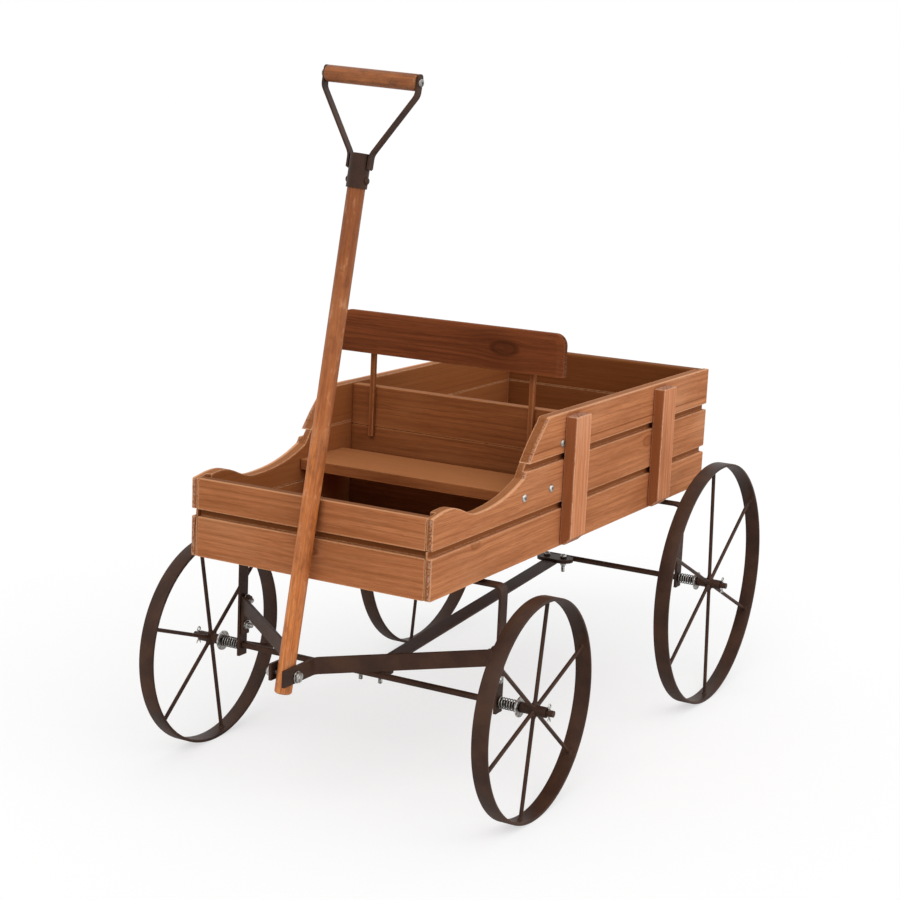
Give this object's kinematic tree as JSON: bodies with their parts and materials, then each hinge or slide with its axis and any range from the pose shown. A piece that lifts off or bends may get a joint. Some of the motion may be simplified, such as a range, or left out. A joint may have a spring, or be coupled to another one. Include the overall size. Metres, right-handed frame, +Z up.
{
  "type": "wagon planter stand",
  "caption": "Wooden wagon planter on spoked iron wheels, with a low front tray, seat back, high rear box and a hinged pull handle.",
  "frame": {"origin": "on the ground under the middle of the wagon's overall length and width", "axes": "+X towards the wagon's rear, with the pull handle at the front on -X; -Y towards the wagon's left side, the one nearest in the picture; +Z up"},
  "size_m": [0.613, 0.3492, 0.5827],
  "materials": {
    "side_wood": "stained cedar, open grain, matt, edges worn lighter",
    "end_wood": "stained cedar, open grain, matt, a little darker",
    "inner_wood": "dark stained cedar, satin",
    "handle_wood": "turned hardwood, stained orange brown, satin",
    "iron": "dark brown powder coat, satin",
    "zinc": "bright zinc plate"
  },
  "bodies": {
    "cart": {"side_board_left_lower": "side_wood", "side_board_left_middle": "side_wood", "side_board_left_upper": "side_wood", "side_board_right_lower": "side_wood", "side_board_right_middle": "side_wood", "side_board_right_upper": "side_wood", "front_board_lower": "end_wood", "front_board_upper": "end_wood", "rear_board_lower": "end_wood", "rear_board_middle": "end_wood", "rear_board_upper": "end_wood", "partition_board_lower": "inner_wood", "partition_board_middle": "inner_wood", "partition_board_upper": "inner_wood", "floor_slat_1": "inner_wood", "floor_slat_2": "inner_wood", "floor_slat_3": "inner_wood", "floor_slat_4": "inner_wood", "batten_left_front": "side_wood", "batten_left_rear": "side_wood", "batten_right_front": "side_wood", "batten_right_rear": "side_wood", "seat_board": "inner_wood", "backrest_board": "inner_wood", "backrest_post_left": "inner_wood", "backrest_post_right": "inner_wood", "arch_front": "iron", "arch_rear": "iron", "axle_front": "iron", "axle_rear": "iron", "centre_beam": "iron", "drawbar_arm_left": "iron", "drawbar_arm_right": "iron", "wheel_spring_front_left": "zinc", "wheel_spring_front_right": "zinc", "wheel_spring_rear_left": "zinc", "wheel_spring_rear_right": "zinc", "wheel_washer_front_left": "zinc", "wheel_washer_front_right": "zinc", "wheel_washer_rear_left": "zinc", "wheel_washer_rear_right": "zinc", "cotter_pin_front_left": "zinc", "cotter_pin_front_right": "zinc", "cotter_pin_rear_left": "zinc", "cotter_pin_rear_right": "zinc", "handle_pivot_bolt": "zinc"},
    "wheel_front_left": {"wheel_front_left": "iron"},
    "wheel_front_right": {"wheel_front_right": "iron"},
    "wheel_rear_left": {"wheel_rear_left": "iron"},
    "wheel_rear_right": {"wheel_rear_right": "iron"},
    "handle": {"handle_pole": "handle_wood", "handle_grip": "handle_wood", "handle_socket": "iron", "handle_strap_left": "iron", "handle_strap_right": "iron", "grip_screw_left": "zinc", "grip_screw_right": "zinc"}
  },
  "joints": [
    {"name": "wheel_front_left_spin", "type": "hinge", "parent": "cart", "child": "wheel_front_left", "pos_m": [-0.17165, -0.15725, 0.09075], "axis": [0, 1, 0], "continuous": true},
    {"name": "wheel_front_right_spin", "type": "hinge", "parent": "cart", "child": "wheel_front_right", "pos_m": [-0.17165, 0.15725, 0.09075], "axis": [0, 1, 0], "continuous": true},
    {"name": "wheel_rear_left_spin", "type": "hinge", "parent": "cart", "child": "wheel_rear_left", "pos_m": [0.19135, -0.15725, 0.1151], "axis": [0, 1, 0], "continuous": true},
    {"name": "wheel_rear_right_spin", "type": "hinge", "parent": "cart", "child": "wheel_rear_right", "pos_m": [0.19135, 0.15725, 0.1151], "axis": [0, 1, 0], "continuous": true},
    {"name": "handle_swing", "type": "hinge", "parent": "cart", "child": "handle", "pos_m": [-0.28945, 0, 0.1198], "axis": [0, -1, 0], "range_deg": [0, 108]}
  ]
}
